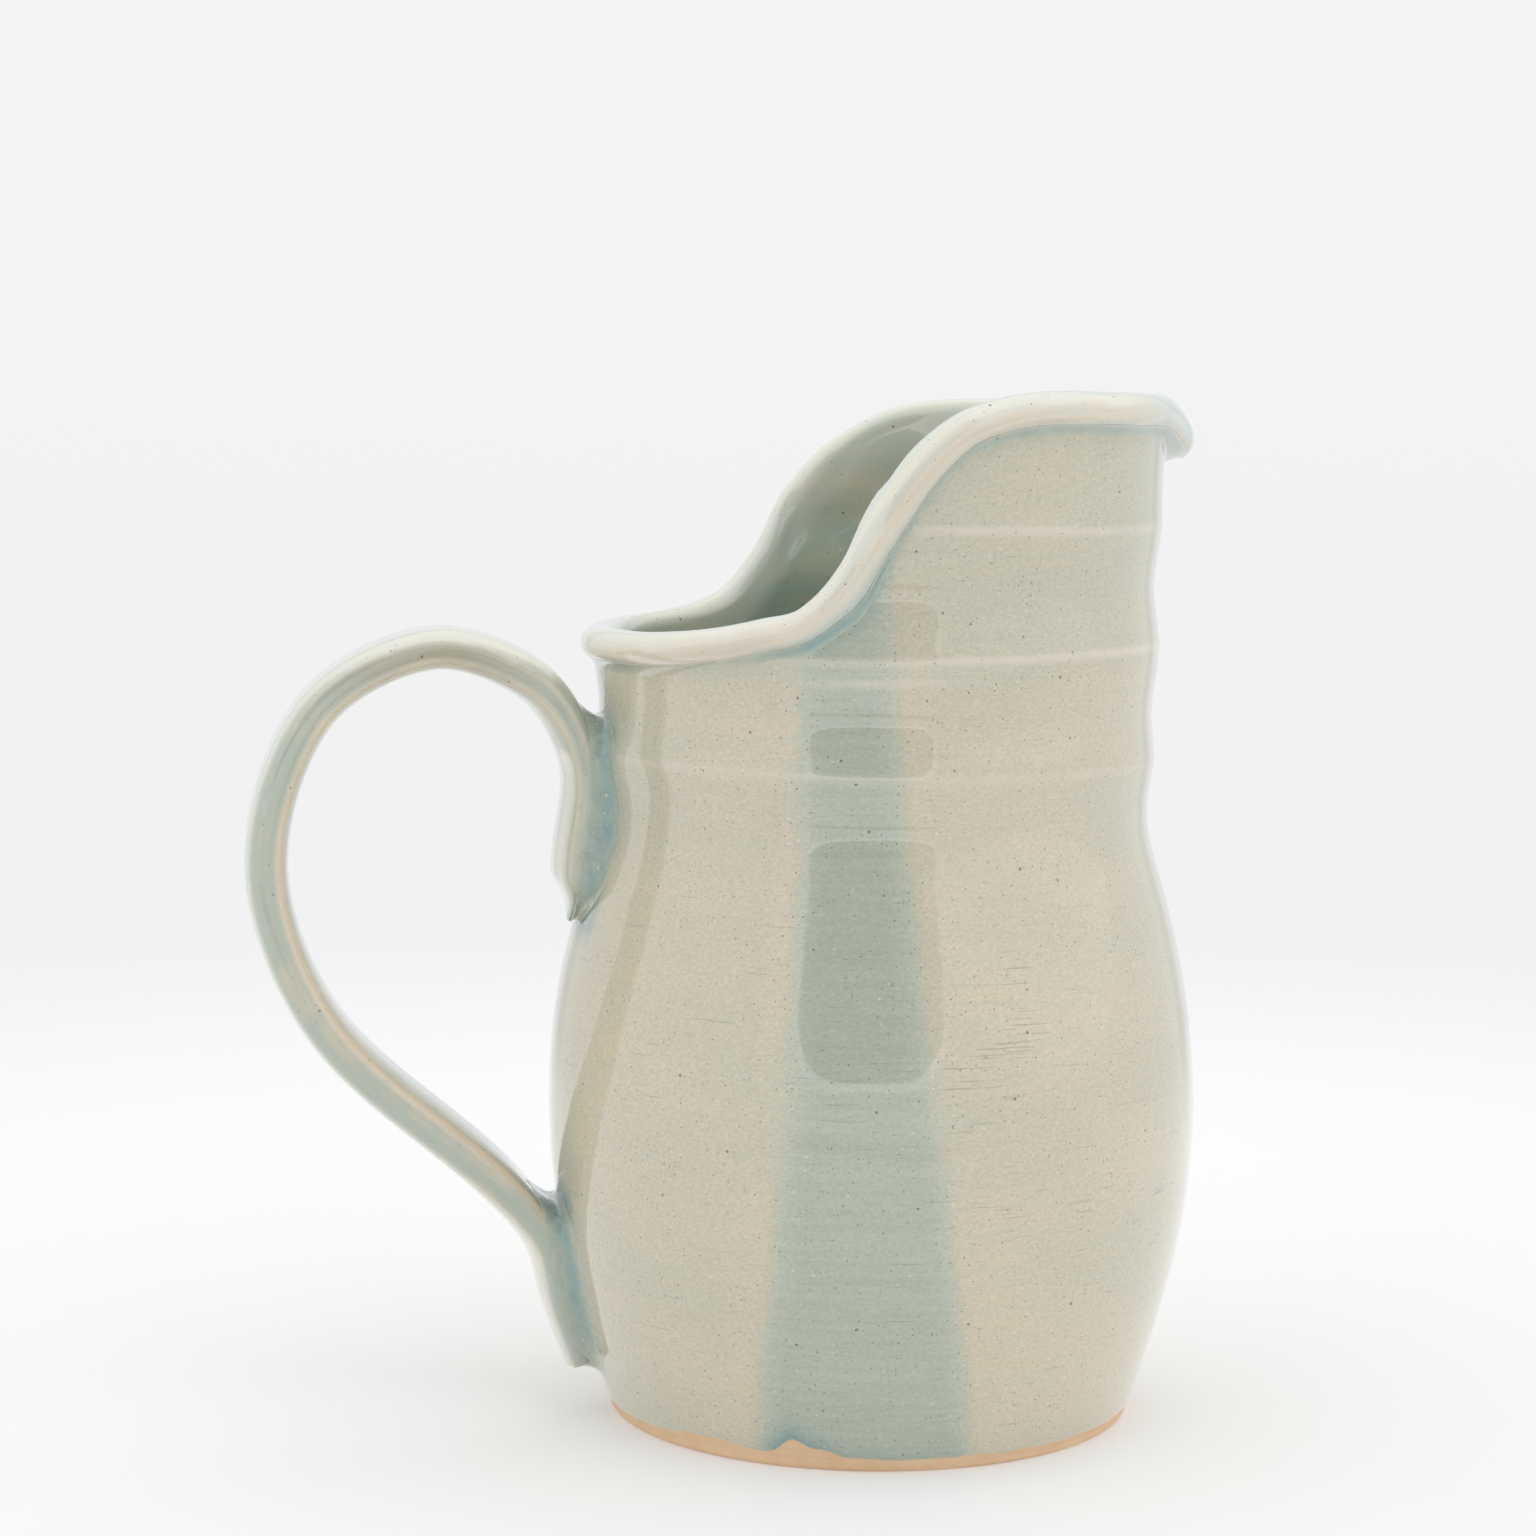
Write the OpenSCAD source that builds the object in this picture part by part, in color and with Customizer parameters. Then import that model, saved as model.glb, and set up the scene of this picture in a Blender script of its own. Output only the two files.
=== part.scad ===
// Hand-thrown stoneware pitcher with a swept rim, a rolled rim coil and a pulled strap handle.
// The origin is the centre of the foot on the table, +Z is up and +X points to the pouring lip.

/* [Body] */
// Height of the rim top at the pouring side
overall_h = 201.5; // [187:0.5:216]
// Radius of the flat foot
foot_r = 51.5; // [46:0.5:56]
// Outward lean of the wall at the foot, run over rise
foot_lean = 0.4; // [0.2:0.05:0.6]
// Rounding of the foot's outer edge
foot_round = 1.5; // [0.5:0.25:3]
// Height of the fullest part of the belly
belly_z = 62; // [54:1:70]
// Radius of the belly
belly_r = 64.4; // [60:0.2:69]
// Height of the waist above the belly
waist_up = 59; // [52:1:66]
// Radius of the waist
waist_r = 54.2; // [50:0.2:57]
// Inward lean of the shoulder as it runs into the waist, run over rise
shoulder_lean = 0.3; // [0.15:0.01:0.4]
// Height over which the wall turns from the shoulder lean to upright
waist_turn = 9; // [5:1:15]
// Height of the lower throwing ridge above the waist
lower_ridge_up = 10; // [7:0.5:13]
// How far the lower ridge stands out past the waist
lower_ridge_out = 1; // [0:0.2:3]
// Height of the hollow above the lower ridge
lower_hollow_up = 8.5; // [6:0.5:11]
// How far that hollow stands out past the waist
lower_hollow_out = 0.4; // [-1:0.2:2]
// Height of the middle throwing ridge above that hollow
middle_ridge_up = 12.5; // [9:0.5:16]
// How far the middle ridge stands out past the waist
middle_ridge_out = 1.6; // [0:0.2:4]
// Height of the hollow above the middle ridge
upper_hollow_up = 12; // [9:0.5:15]
// How far that hollow stands out past the waist
upper_hollow_out = 0.6; // [-1:0.2:3]
// Height of the upper throwing ridge above that hollow
upper_ridge_up = 13.5; // [10:0.5:17]
// How far the upper ridge stands out past the waist
upper_ridge_out = 2; // [0:0.2:4]
// How far the collar at the rim top stands out past the waist
collar_out = 2.8; // [0:0.2:5]
// Thickness of the thrown wall
wall = 4.5; // [3:0.25:6]
// Thickness of the floor
floor_t = 7; // [5:0.5:10]
// Radius of the inside corner between floor and wall
floor_corner = 12; // [6:1:18]

/* [Rim] */
// Thickness of the rolled rim coil
coil_d = 7; // [5.5:0.25:8.5]
// How much thicker the coil is on the steepest part of the sweep, as a share
coil_swell = 0.18; // [0:0.02:0.3]
// How far the coil stands out past the wall
coil_overhang = 2.2; // [1:0.2:3]
// Height of the rim top over the handle, above the waist
low_rim_up = 35; // [30:1:40]
// Place along X where the low rim turns up into the sweep
sweep_start_x = -21; // [-27:1:-15]
// Rise of the rim from the handle to there
sweep_start_rise = 5; // [3:0.5:7]
// Slope of the rim there, rise over run
sweep_start_slope = 0.36; // [0.2:0.02:0.5]
// Place along X of the steepest part of the sweep
sweep_x = -6.5; // [-10:0.5:-3]
// Share of the sweep's rise that lies below its steepest part
sweep_low_share = 0.53; // [0.45:0.01:0.6]
// How much steeper that part is than the sweep as a whole
sweep_steepness = 1.8; // [1.4:0.05:2.1]
// Place along X where the sweep reaches the high rim
sweep_end_x = 25; // [19:1:31]
// How far the pouring lip is drawn out
lip_reach = 4; // [2:0.2:6]
// How far the pouring lip is turned down
lip_drop = 5; // [2:0.2:6]
// Half angle of the rim that is drawn into the lip
lip_half_angle = 30; // [20:1:45]

/* [Handle] */
// Width of the strap
strap_w = 24; // [18:1:32]
// Thickness of the strap
strap_t = 8.6; // [7:0.2:10]
// Thickness of the strap where it is pressed on the upper wall
press_t = 6.8; // [5.4:0.2:8]
// Width of the strap at its lower end
tail_w = 20; // [14:1:26]
// Thickness of the strap where it is pressed along the lower wall
tail_t = 6.4; // [5:0.2:8]
// Height of the centre line at the top of the loop, above the waist
loop_top_up = 30.5; // [26:0.5:36]
// Distance from the waist to the top of the loop
loop_top_out = 33.6; // [28:0.2:38]
// Depth below the waist where the loop stands out furthest
loop_back_down = 12; // [5:1:19]
// Distance from the waist to the centre line there
loop_back_out = 65.1; // [56:0.1:72]
// Depth below the waist of the elbow where the loop turns in
loop_elbow_down = 43; // [37:1:51]
// Distance from the waist to the centre line there
loop_elbow_out = 53.9; // [46:0.1:60]
// Height above the lower joint where the loop turns down
loop_return_up = 12; // [8:1:17]
// Distance from the wall to the centre line there
loop_return_out = 12.2; // [9:0.2:15]
// Height where the strap leaves the wall, above the waist
upper_joint_up = 8; // [5:1:13]
// Depth of the strap's upper end below the waist
upper_end_down = 22.5; // [15:0.5:29]
// Height where the strap comes back to the wall
lower_joint_z = 36; // [31:1:41]
// Height of the strap's lower end
lower_end_z = 10.5; // [8:0.5:13]

/* [Joints] */
// Thickness of the slip that beds the coil and the handle
slip_t = 0.6; // [0.5:0.1:1.2]
// Widest crotch that the slip fills beside the handle
slip_fill = 3; // [2:0.5:5]
// Clearance between a slip bed and the pieces that it joins
bed_gap = 0.15; // [0.1:0.05:0.2]

/* [Hidden] */
$fn = 96;

clay = [0.80, 0.77, 0.69];
celadon = [0.72, 0.77, 0.72];
pooled_glaze = [0.60, 0.74, 0.76];

// Steps along each curve, and sides round the coil and the strap
profile_steps = 4;
corner_steps = 6;
sweep_steps = 44;
coil_steps = 144;
coil_sides = 14;
strap_steps = 8;
strap_sides = 24;

// How boxy the strap's section is: 2 is an oval, and more is squarer
strap_squareness = 3.2;
// Shares of the width and of the thickness that are left at the strap's upper end and at its tail
end_narrowing = 0.75;
end_thinning = 0.3;
tail_narrowing = 0.9;
tail_thinning = 0.85;
// Strap thicknesses away from the wall at which the strap is flat across
hug_reach = 2;
// Sides of the strap on each half of a slip bed
bed_half = 4;
// Spans of the strap from its upper end to the loop's top, and to the start of the lower joint
upper_spans = 4;
lower_spans = 8;
// Depth of the coil's seat under its centre, as a share of its radius
coil_seat = 0.3;
// Half step along X over which the rim's slope is taken
slope_step = 0.1;
// How far the cutting block reaches past the body
cut_margin = 10;

coil_r = coil_d / 2;
waist_z = belly_z + waist_up;
lower_ridge_z = waist_z + lower_ridge_up;
lower_hollow_z = lower_ridge_z + lower_hollow_up;
middle_ridge_z = lower_hollow_z + middle_ridge_up;
upper_hollow_z = middle_ridge_z + upper_hollow_up;
upper_ridge_z = upper_hollow_z + upper_ridge_up;
collar_r = waist_r + collar_out;
upper_joint_z = waist_z + upper_joint_up;
upper_end_z = waist_z - upper_end_down;
loop_return_z = lower_joint_z + loop_return_up;

// Cubic through two knots [place, value, slope]
function hermite(a, b, t) =
    let (run = b[0] - a[0], u = (t - a[0]) / run)
    a[1] * (2 * u ^ 3 - 3 * u ^ 2 + 1) + a[2] * run * (u ^ 3 - 2 * u ^ 2 + u)
    + b[1] * (3 * u ^ 2 - 2 * u ^ 3) + b[2] * run * (u ^ 3 - u ^ 2);

// Outer wall of the body as knots [height, radius, slope]
wall_knots = [
    [0, foot_r, foot_lean],
    [belly_z, belly_r, 0],
    [waist_z - waist_turn, waist_r + waist_turn * shoulder_lean / 2, -shoulder_lean],
    [waist_z, waist_r, 0],
    [lower_ridge_z, waist_r + lower_ridge_out, 0],
    [lower_hollow_z, waist_r + lower_hollow_out, 0],
    [middle_ridge_z, waist_r + middle_ridge_out, 0],
    [upper_hollow_z, waist_r + upper_hollow_out, 0],
    [upper_ridge_z, waist_r + upper_ridge_out, 0],
    [overall_h, collar_r, 0]
];

// Value at a place on the smooth line through knots, which runs level past both ends
function knot_value(knots, place, i = 0) =
    let (t = max(knots[0][0], min(knots[len(knots) - 1][0], place)))
    i >= len(knots) - 2 || t < knots[i + 1][0]
        ? hermite(knots[i], knots[i + 1], t)
        : knot_value(knots, place, i + 1);

function wall_r(z) = knot_value(wall_knots, z);

// Centre line of the coil as knots [X, height, slope], from the handle to the high rim
low_centre_z = waist_z + low_rim_up - coil_r;
high_centre_z = overall_h - coil_r;
sweep_start_z = low_centre_z + sweep_start_rise;
sweep_rise = high_centre_z - sweep_start_z;
sweep_slope = sweep_steepness * sweep_rise / (sweep_end_x - sweep_start_x);
rim_knots = [
    [-collar_r, low_centre_z, 0],
    [sweep_start_x, sweep_start_z, sweep_start_slope],
    [sweep_x, sweep_start_z + sweep_low_share * sweep_rise, sweep_slope],
    [sweep_end_x, high_centre_z, 0]
];

function rim_z(x) = knot_value(rim_knots, x);

function rim_slope(x) = (rim_z(x + slope_step) - rim_z(x - slope_step)) / (2 * slope_step);

// How much taller the coil's section is where the rim climbs
function rim_stretch(x) =
    let (slope = rim_slope(x))
    sqrt(1 + slope ^ 2 * max(0, 1 - (x / collar_r) ^ 2)) * (1 + coil_swell * (slope / sweep_slope) ^ 2);

// Top of the slip bed under the coil, and the cut edge of the wall under that
function seat_z(x) = rim_z(x) - coil_seat * coil_r * rim_stretch(x);
function cut_z(x) = seat_z(x) - slip_t;

// Half section of the wall and floor, up to the height of the rim top
module wall_section() {
    heights = [
        for (i = [0:len(wall_knots) - 2], s = [0:profile_steps - 1])
            let (low = wall_knots[i][0], high = wall_knots[i + 1][0])
            low + (high - low) * s / profile_steps
    ];
    corner_z = floor_t + floor_corner;
    corner_r = wall_r(corner_z) - wall - floor_corner;
    outer = [for (z = heights) if (z > foot_round) [wall_r(z), z]];
    inner = [for (z = heights) if (z > corner_z + wall / 2) [wall_r(z) - wall, z]];
    foot_edge = wall_r(foot_round) - foot_round;
    polygon(concat(
        [[0, 0]],
        [for (a = [-90:90 / corner_steps:0])
            [foot_edge + foot_round * cos(a), foot_round + foot_round * sin(a)]],
        outer,
        [[wall_r(overall_h), overall_h], [wall_r(overall_h) - wall, overall_h]],
        [for (i = [len(inner) - 1:-1:0]) inner[i]],
        [for (a = [0:-90 / corner_steps:-90])
            [corner_r + floor_corner * cos(a), corner_z + floor_corner * sin(a)]],
        [[0, floor_t]]
    ));
}

// Places along X where the swept rim bends
sweep_places = concat(
    [-belly_r - cut_margin],
    [for (i = [0:sweep_steps]) -collar_r + (collar_r + sweep_end_x) * i / sweep_steps],
    [belly_r + cut_margin]
);

// Block that reaches down to the cut edge, raised by a step
module above_cut(step) {
    rotate([90, 0, 0])
        linear_extrude(2 * (belly_r + cut_margin), center = true)
            polygon(concat(
                [for (x = sweep_places) [x, cut_z(x) + step]],
                [[belly_r + cut_margin, overall_h + cut_margin],
                 [-belly_r - cut_margin, overall_h + cut_margin]]
            ));
}

// Wall and floor thrown in one from one lump, with the rim cut to its sweep
module thrown_body() {
    color(clay) difference() {
        rotate_extrude() wall_section();
        above_cut(0);
    }
}

// Slip bed on the cut edge, as wide as the wall
module rim_slip() {
    color(pooled_glaze) difference() {
        intersection() {
            rotate_extrude() wall_section();
            above_cut(0);
        }
        above_cut(slip_t - bed_gap);
    }
}

// Closed skin over rings with equal numbers of points, as a loop or with flat ends
module skin(rings, loop = false) {
    n = len(rings);
    m = len(rings[0]);
    half = m / 2;
    sides = [
        for (i = [0:(loop ? n : n - 1) - 1], j = [0:m - 1])
            let (a = i * m + j, b = i * m + (j + 1) % m, p = (i + 1) % n * m)
            each [[a, b, p + (j + 1) % m], [a, p + (j + 1) % m, p + j]]
    ];
    ends = loop ? [] : [
        for (j = [0:half - 2], last = [0, 1])
            let (a = last * (n - 1) * m, q = [a + j, a + j + 1, a + m - 2 - j, a + m - 1 - j])
            each last == 1
                ? [[q[0], q[1], q[2]], [q[0], q[2], q[3]]]
                : [[q[0], q[2], q[1]], [q[0], q[3], q[2]]]
    ];
    polyhedron([for (r = rings) each r], concat(sides, ends));
}

// Share of the full lip at an angle round the rim
function lip_share(a) =
    let (d = a > 180 ? a - 360 : a)
    abs(d) < lip_half_angle ? cos(90 * d / lip_half_angle) ^ 2 : 0;

// Section of the coil at an angle: a round lapping the wall's top edge, drawn out at the lip
function coil_ring(a) =
    let (
        share = lip_share(a),
        out = lip_reach * share,
        drop = lip_drop * share,
        lip_angle = -atan2(lip_drop, lip_reach),
        height = rim_z(collar_r * cos(a)),
        lap_depth = coil_r * rim_stretch(collar_r * cos(a)) + drop,
        wall_face = max([for (part = [0:0.25:1]) wall_r(height - part * lap_depth)]) + bed_gap,
        centre = wall_face + coil_overhang - coil_r,
        centre_z = rim_z(centre * cos(a)),
        stretch = rim_stretch(centre * cos(a)),
        lap = (wall_face - centre - out) / coil_r,
        under = lip_angle - 90,
        first = max(-acos(max(-1, min(1, lap))), under),
        last = 180 + asin(coil_seat),
        lapped = first > under ? 1 : (wall_face - centre - coil_r * cos(first)) / out,
        corner = [wall_face, centre_z - lapped * drop + stretch * coil_r * sin(first)],
        round = [
            for (j = [1:coil_sides])
                let (
                    t = first + (last - first) * j / (coil_sides + 1),
                    far = cos(t - lip_angle) > 0 ? 1 : 0
                )
                [centre + far * out + coil_r * cos(t), centre_z - far * drop + stretch * coil_r * sin(t)]
        ],
        inner = centre + coil_r * cos(last),
        seat = [for (r = [inner, wall_face]) [r, seat_z(r * cos(a)) + bed_gap]],
        section = concat([corner], round, seat)
    )
    [for (p = section) [p[0] * cos(a), p[0] * sin(a), p[1]]];

// Rolled coil luted along the cut edge, drawn out and turned down at the pouring lip
module rim_coil() {
    color(clay) skin([for (i = [0:coil_steps - 1]) coil_ring(360 * i / coil_steps)], loop = true);
}

// Strap knots [X, Z, width, thickness] from the upper end, over the loop, to the lower end
function on_wall(z, wide, thick) = [-(wall_r(z) + slip_t + thick / 2), z, wide, thick];

loop_top = [-waist_r - loop_top_out, waist_z + loop_top_up, strap_w, strap_t];
loop_back = [-waist_r - loop_back_out, waist_z - loop_back_down, strap_w, strap_t];

// Middle of the quarter oval from an upright stretch at a to a level one at b
function rounding(a, b) =
    [a[0] + (b[0] - a[0]) * (1 - sin(45)), a[1] + (b[1] - a[1]) * sin(45), b[2], b[3]];

strap_knots = [
    on_wall(upper_end_z, strap_w * end_narrowing, press_t * end_thinning),
    on_wall((upper_end_z * 2 + upper_joint_z) / 3, strap_w, press_t),
    on_wall(upper_joint_z, strap_w, press_t),
    rounding(on_wall(upper_joint_z, strap_w, press_t), loop_top),
    loop_top,
    rounding(loop_back, loop_top),
    loop_back,
    [-waist_r - loop_elbow_out, waist_z - loop_elbow_down, strap_w, strap_t],
    [-wall_r(loop_return_z) - loop_return_out, loop_return_z, strap_w, strap_t],
    on_wall(lower_joint_z, strap_w, (strap_t + tail_t) / 2),
    on_wall((lower_joint_z + lower_end_z) / 2, (strap_w + tail_w) / 2, tail_t),
    on_wall(lower_end_z, tail_w * tail_narrowing, tail_t * tail_thinning)
];

// Length along the knots, up to each of them
function run_to(i) =
    i == 0 ? 0 : run_to(i - 1) + norm([for (k = [0:1]) strap_knots[i][k] - strap_knots[i - 1][k]]);

strap_last = len(strap_knots) - 1;
strap_curve = [
    for (i = [0:strap_last])
        let (low = max(0, i - 1), high = min(strap_last, i + 1))
        [run_to(i), strap_knots[i], (strap_knots[high] - strap_knots[low]) / (run_to(high) - run_to(low))]
];

// Points of the smooth strap, in the same form as the knots
strap_line = [
    for (i = [0:strap_last - 1], s = [0:strap_steps - (i < strap_last - 1 ? 1 : 0)])
        let (low = strap_curve[i], high = strap_curve[i + 1])
        hermite(low, high, low[0] + (high[0] - low[0]) * s / strap_steps)
];

function eased(u) = let (c = max(0, min(1, u))) c * c * (3 - 2 * c);

// Point at an angle on a rounded square that reaches from -1 to 1
function rounded_square(t) =
    let (q = strap_squareness)
    [cos(t), sin(t)] / (abs(cos(t)) ^ q + abs(sin(t)) ^ q) ^ (1 / q);

function radius(p) = norm([p[0], p[1]]);

function at_radius(p, r) = let (k = r / radius(p)) [p[0] * k, p[1] * k, p[2]];

// Keeps a point of the strap clear of the wall by the slip bed
function pressed(p) = at_radius(p, max(radius(p), wall_r(p[2]) + slip_t));

// Section of the strap, bent round the wall where it lies close to it
function strap_ring(i) =
    let (
        c = strap_line[i],
        before = strap_line[max(0, i - 1)],
        after = strap_line[min(len(strap_line) - 1, i + 1)],
        step = [after[0] - before[0], after[1] - before[1]],
        along = step / norm(step),
        away = -c[0] - wall_r(c[1]) - slip_t - c[3] / 2,
        hug = 1 - eased(away / (hug_reach * strap_t))
    )
    [
        for (j = [0:strap_sides - 1])
            let (
                edge = rounded_square((j + 0.5) * 360 / strap_sides),
                y = c[2] / 2 * edge[0],
                lift = c[3] / 2 * edge[1],
                bend = -c[0] - sqrt(c[0] ^ 2 - y ^ 2)
            )
            pressed([c[0] + lift * along[1] + hug * bend, y, c[1] - lift * along[0]])
    ];

// Pulled strap, pressed on the wall at both ends
module handle() {
    color(celadon) skin([for (i = [0:len(strap_line) - 1]) strap_ring(i)]);
}

// Slip between the wall and the face of the strap on one side, out to where the crotch opens
module handle_slip(rings, side) {
    quarter = strap_sides / 4;
    faces = [for (j = [-bed_half:bed_half - 1]) (side > 0 ? quarter : 3 * quarter) + j];
    beds = [
        for (i = rings)
            let (
                strap = strap_ring(i),
                middle = strap[faces[bed_half]],
                opening = radius(middle) - wall_r(middle[2])
            )
            if (opening < slip_fill)
                concat(
                    [for (j = faces) at_radius(strap[j], wall_r(strap[j][2]) + bed_gap)],
                    [for (k = [len(faces) - 1:-1:0])
                        let (p = strap[faces[k]])
                        at_radius(p, radius(p) - bed_gap)]
                )
    ];
    skin(beds);
}

// Slip bed of the upper joint
module upper_handle_slip() {
    color(pooled_glaze) handle_slip([0:strap_steps * upper_spans], 1);
}

// Slip bed of the lower joint
module lower_handle_slip() {
    color(pooled_glaze) handle_slip([strap_steps * lower_spans:len(strap_line) - 1], -1);
}

thrown_body();
rim_slip();
rim_coil();
upper_handle_slip();
lower_handle_slip();
handle();
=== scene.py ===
import math

import bmesh
import bpy
from mathutils import Matrix, Vector, noise


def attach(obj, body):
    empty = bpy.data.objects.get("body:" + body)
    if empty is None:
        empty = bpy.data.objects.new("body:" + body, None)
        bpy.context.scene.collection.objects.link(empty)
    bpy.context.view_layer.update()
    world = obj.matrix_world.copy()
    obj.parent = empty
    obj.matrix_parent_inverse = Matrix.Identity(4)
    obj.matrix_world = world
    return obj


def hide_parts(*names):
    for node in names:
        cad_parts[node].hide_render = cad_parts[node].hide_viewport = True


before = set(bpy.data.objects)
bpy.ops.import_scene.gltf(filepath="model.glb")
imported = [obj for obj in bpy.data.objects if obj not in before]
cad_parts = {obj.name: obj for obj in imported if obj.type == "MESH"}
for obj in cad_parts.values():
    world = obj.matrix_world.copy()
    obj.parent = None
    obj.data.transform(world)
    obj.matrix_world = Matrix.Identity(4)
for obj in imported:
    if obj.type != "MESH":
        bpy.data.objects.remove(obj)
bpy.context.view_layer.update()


# The thrown body is one wall and floor of speckled stoneware, thrown on the wheel and cut to a swept rim.
# It keeps its throwing ridges and trimming scratches under a thin celadon glaze that breaks pale on each
# crest, runs thicker where it was poured twice, and stops short of the bare foot. Sizes are in millimetres.
overall_h = 201.5
foot_r, foot_lean, foot_round = 51.5, 0.4, 1.5
belly_z, belly_r = 62, 64.4
waist_z, waist_r, waist_turn, shoulder_lean = 121, 54.2, 9, 0.3
collar_r = 57
wall, floor_t, floor_corner = 4.5, 7, 12
wall_knots = [
    (0, foot_r, foot_lean),
    (belly_z, belly_r, 0),
    (waist_z - waist_turn, waist_r + waist_turn * shoulder_lean / 2, -shoulder_lean),
    (waist_z, waist_r, 0),
    (131, 55.2, 0),
    (139.5, 54.6, 0),
    (152, 55.8, 0),
    (164, 54.8, 0),
    (177.5, 56.2, 0),
    (overall_h, collar_r, 0),
]


def cubic(low, high, place):
    """Smooth curve between two knots of place, value and slope."""
    run = high[0] - low[0]
    u = (place - low[0]) / run
    return (low[1] * (2 * u**3 - 3 * u**2 + 1) + low[2] * (run * (u**3 - 2 * u**2 + u))
            + high[1] * (3 * u**2 - 2 * u**3) + high[2] * (run * (u**3 - u**2)))


def along_knots(knots, place):
    """Value at a place on the smooth line through knots, which runs level past both ends."""
    place = min(max(place, knots[0][0]), knots[-1][0])
    for low, high in zip(knots, knots[1:]):
        if place <= high[0]:
            break
    return cubic(low, high, place)


def wall_r(z):
    """Radius of the outer wall at a height."""
    return along_knots(wall_knots, z)


def eased(u):
    """Smooth step from 0 to 1."""
    u = min(max(u, 0), 1)
    return u * u * (3 - 2 * u)


def between(knots, place):
    """Value at a place on straight runs between knots."""
    for (a, low), (b, high) in zip(knots, knots[1:]):
        if place <= b:
            break
    return low + (high - low) * min(max((place - a) / (b - a), 0), 1)


coil_r, coil_swell, coil_seat, slip_t = 3.5, 0.18, 0.3, 0.6
low_rim_z, sweep_slope = waist_z + 35 - coil_r, 1.6
rim_start, rim_step = -57, 7
near_rises = [0, -0.1, 0.5, 1.7, 3.5, 5.7, 12.6, 24.5, 34.6, 41.0, 43.8, 45.1, 45.5, 45.5]
far_rises = [0, 0.2, 0.6, 1.4, 2.7, 5.7, 13.1, 24.6, 33.6, 39.3, 43.0, 44.9, 45.5, 45.5]


def even_knots(rises):
    """Knots of the rim through rises at even steps, each as steep as the run between its neighbours."""
    knots = []
    for i, rise in enumerate(rises):
        slope = (rises[i + 1] - rises[i - 1]) / (2 * rim_step) if 0 < i < len(rises) - 1 else 0
        knots.append((rim_start + rim_step * i, low_rim_z + rise, slope))
    return knots


near_rim, far_rim = even_knots(near_rises), even_knots(far_rises)


def rim_line(x, a):
    """Height of the coil's middle along the sweep, which was cut by hand and differs on the two sides."""
    far = along_knots(far_rim, x)
    return far + (along_knots(near_rim, x) - far) * eased(0.5 - math.sin(a) / 1.2)


def rim_z(r, a):
    """Height of the middle of the rim coil, which sweeps up from the handle to the lip."""
    return rim_line(r * math.cos(a), a)


def rim_stretch(r, a):
    """How much taller the coil's section is where the rim climbs."""
    x = r * math.cos(a)
    slope = (rim_line(x + 0.1, a) - rim_line(x - 0.1, a)) / 0.2
    return math.sqrt(1 + slope**2 * max(0, 1 - (x / collar_r)**2)) * (1 + coil_swell * (slope / sweep_slope)**2)


def seat_z(r, a):
    """Height of the coil's seat on its bed of slip."""
    return rim_z(r, a) - coil_seat * coil_r * rim_stretch(r, a)


# The front is the side seen first, as an angle round the body. Each throwing ridge has its height, how far
# it stands out, and how strong it is at angles from the front.
front = -100.44
crests = [
    (130.4, 0.16, [(-180, 0.5), (180, 0.5)]),
    (152.2, 0.28, [(-180, 0.3), (-60, 0.5), (0, 0.6), (8, 1), (90, 1), (180, 0.3)]),
    (147.2, 0.14, [(-60, 0), (-16, 0), (-8, 0.6), (8, 0.6), (26, 0), (180, 0)]),
    (176.2, 0.20, [(-180, 0.8), (180, 0.8)]),
]


def faced(a):
    """Angle in degrees round the body from the side that is seen first."""
    return (math.degrees(a) - front + 180) % 360 - 180


def crest(z, a):
    """Height of the throwing ridges at a place, how far over the nearest it is, and that one's share."""
    height, nearest, strength = 0, 6, 0
    for level, rise, share in crests:
        climb = 0.7 * math.sin(a + level) + 0.3 * math.sin(3 * a + 2 * level)
        over, part = z - level - climb, between(share, faced(a))
        height += part * rise / (1 + (over / 0.9)**2)
        if abs(over) < abs(nearest) and part > 0:
            nearest, strength = over, part
    return height, nearest, strength


def throwing(z, a):
    """How far the hand-thrown wall strays from a true round."""
    ring = Vector((1.3 * math.cos(a), 1.3 * math.sin(a), z / 34))
    fine = Vector((3.1 * math.cos(a), 3.1 * math.sin(a), z / 7))
    swell_z, dish_z, half_height, half_angle = 128.5, 143, 4.5, 30
    dish = math.exp(-((z - swell_z) / half_height)**2) - math.exp(-((z - dish_z) / half_height)**2)
    dish *= math.exp(-(faced(a) / half_angle)**2)
    return 0.30 * noise.noise(ring) + 0.07 * noise.noise(fine) + 0.3 * dish - 0.12


def skin_r(z, a):
    """Radius of the thrown wall with its ridges, as it really came off the wheel."""
    return wall_r(z) + eased((z - 2) / 8) * (crest(z, a)[0] + throwing(z, a))


def inner_r(z, a):
    """Radius of the inside of the wall, whose throwing rings are smoothed out under the rim."""
    lapped = eased((z - rim_z(collar_r, a) + 36) / 12)
    return wall_r(z) - wall + (0.10 * math.sin(2 * math.pi * z / 11 + a) + throwing(z, a)) * (1 - lapped)


def clay_line(a):
    """Height of the wavy edge where the glaze ends above the bare foot."""
    f = faced(a)
    wave = 0.5 * noise.noise(Vector((7 * math.cos(a), 7 * math.sin(a), 0)))
    return (2.6 + wave + 1.4 * math.exp(-((f + 36) / 12)**2) + 3.4 * math.exp(-((f + 15) / 3.2)**2)
            + 1.6 * math.exp(-((f + 9) / 3)**2))


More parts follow.
